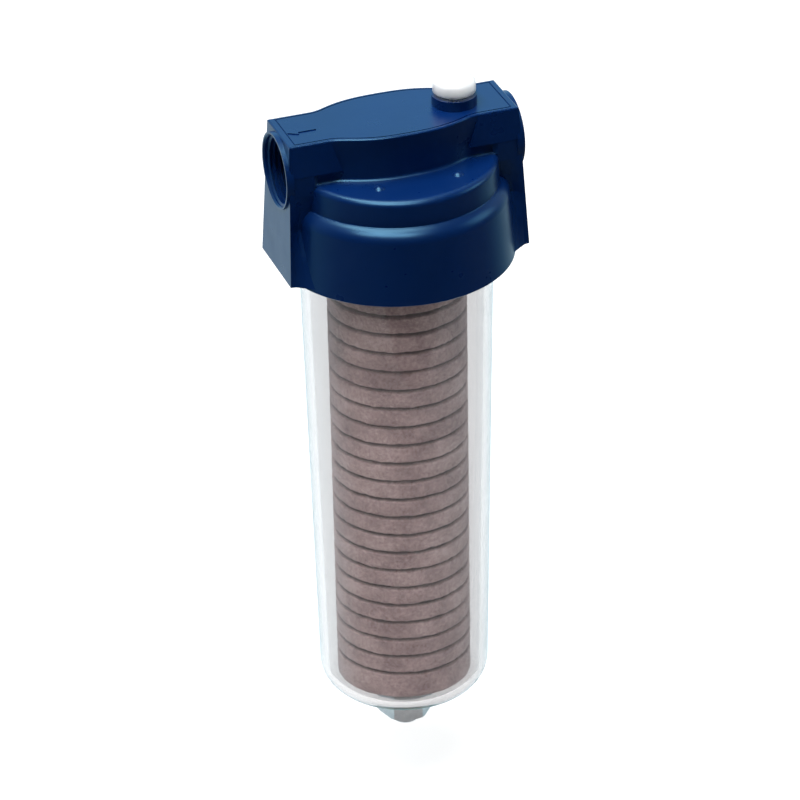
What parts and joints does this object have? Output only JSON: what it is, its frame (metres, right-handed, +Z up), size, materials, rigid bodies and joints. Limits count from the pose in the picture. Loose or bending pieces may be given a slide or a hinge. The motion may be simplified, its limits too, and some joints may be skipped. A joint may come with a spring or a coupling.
{
  "type": "cartridge water filter",
  "caption": "In-line water filter with a threaded-port head, push air release, clear screw-on bowl, grooved cartridge and drain.",
  "frame": {"origin": "on the bowl's axis, level with the lowest point of the drain screw", "axes": "+Z up along the bowl's axis, +X towards the inlet port, on the side of the air release"},
  "size_m": [0.1136, 0.1082, 0.338],
  "materials": {
    "blue_plastic": "satin moulded",
    "white_plastic": "satin moulded",
    "clear_plastic": "clear polished",
    "filter_media": "pressed fibre",
    "core_plastic": "moulded",
    "seal_rubber": "matt",
    "plated_metal": "zinc plated, dull",
    "brass": "turned"
  },
  "bodies": {
    "head": {"head": "blue_plastic", "vent_spring": "plated_metal"},
    "vent_plunger": {"vent_button": "white_plastic", "vent_stem": "plated_metal", "vent_valve_washer": "seal_rubber", "vent_backing_washer": "plated_metal", "vent_clip": "plated_metal"},
    "cartridge": {"filter_sleeve": "filter_media", "filter_core": "core_plastic", "top_gasket": "seal_rubber", "bottom_gasket": "seal_rubber", "cartridge_plug": "core_plastic", "bowl_o_ring": "seal_rubber"},
    "bowl": {"bowl": "clear_plastic", "drain_insert": "brass", "drain_gasket": "seal_rubber", "drain_body": "plated_metal"},
    "drain_seal": {"drain_o_ring": "seal_rubber"},
    "drain_screw": {"drain_screw": "plated_metal"}
  },
  "joints": [
    {"name": "vent_press", "type": "slide", "parent": "head", "child": "vent_plunger", "axis": [0, 0, -1], "range_m": [0, 0.0012], "stiffness_N_per_m": 1500, "springref_m": -0.0015, "deforming": ["vent_spring"]},
    {"name": "bowl_drop", "type": "slide", "parent": "head", "child": "cartridge", "axis": [0, 0, -1], "range_m": [0, 0.015]},
    {"name": "bowl_turn", "type": "hinge", "parent": "cartridge", "child": "bowl", "pos_m": [0, 0, 0.2575], "axis": [0, 0, -1], "range_deg": [0, 1080]},
    {"name": "drain_drop", "type": "slide", "parent": "bowl", "child": "drain_seal", "axis": [0, 0, -1], "range_m": [0, 0.0025]},
    {"name": "drain_turn", "type": "hinge", "parent": "drain_seal", "child": "drain_screw", "pos_m": [0, 0, 0.0125], "axis": [0, 0, -1], "range_deg": [0, 720]}
  ],
  "couplings": [
    {"joint": "bowl_drop", "follows": "bowl_turn", "m_per_rad": 0.00079577},
    {"joint": "drain_drop", "follows": "drain_turn", "m_per_rad": 0.00019894}
  ]
}
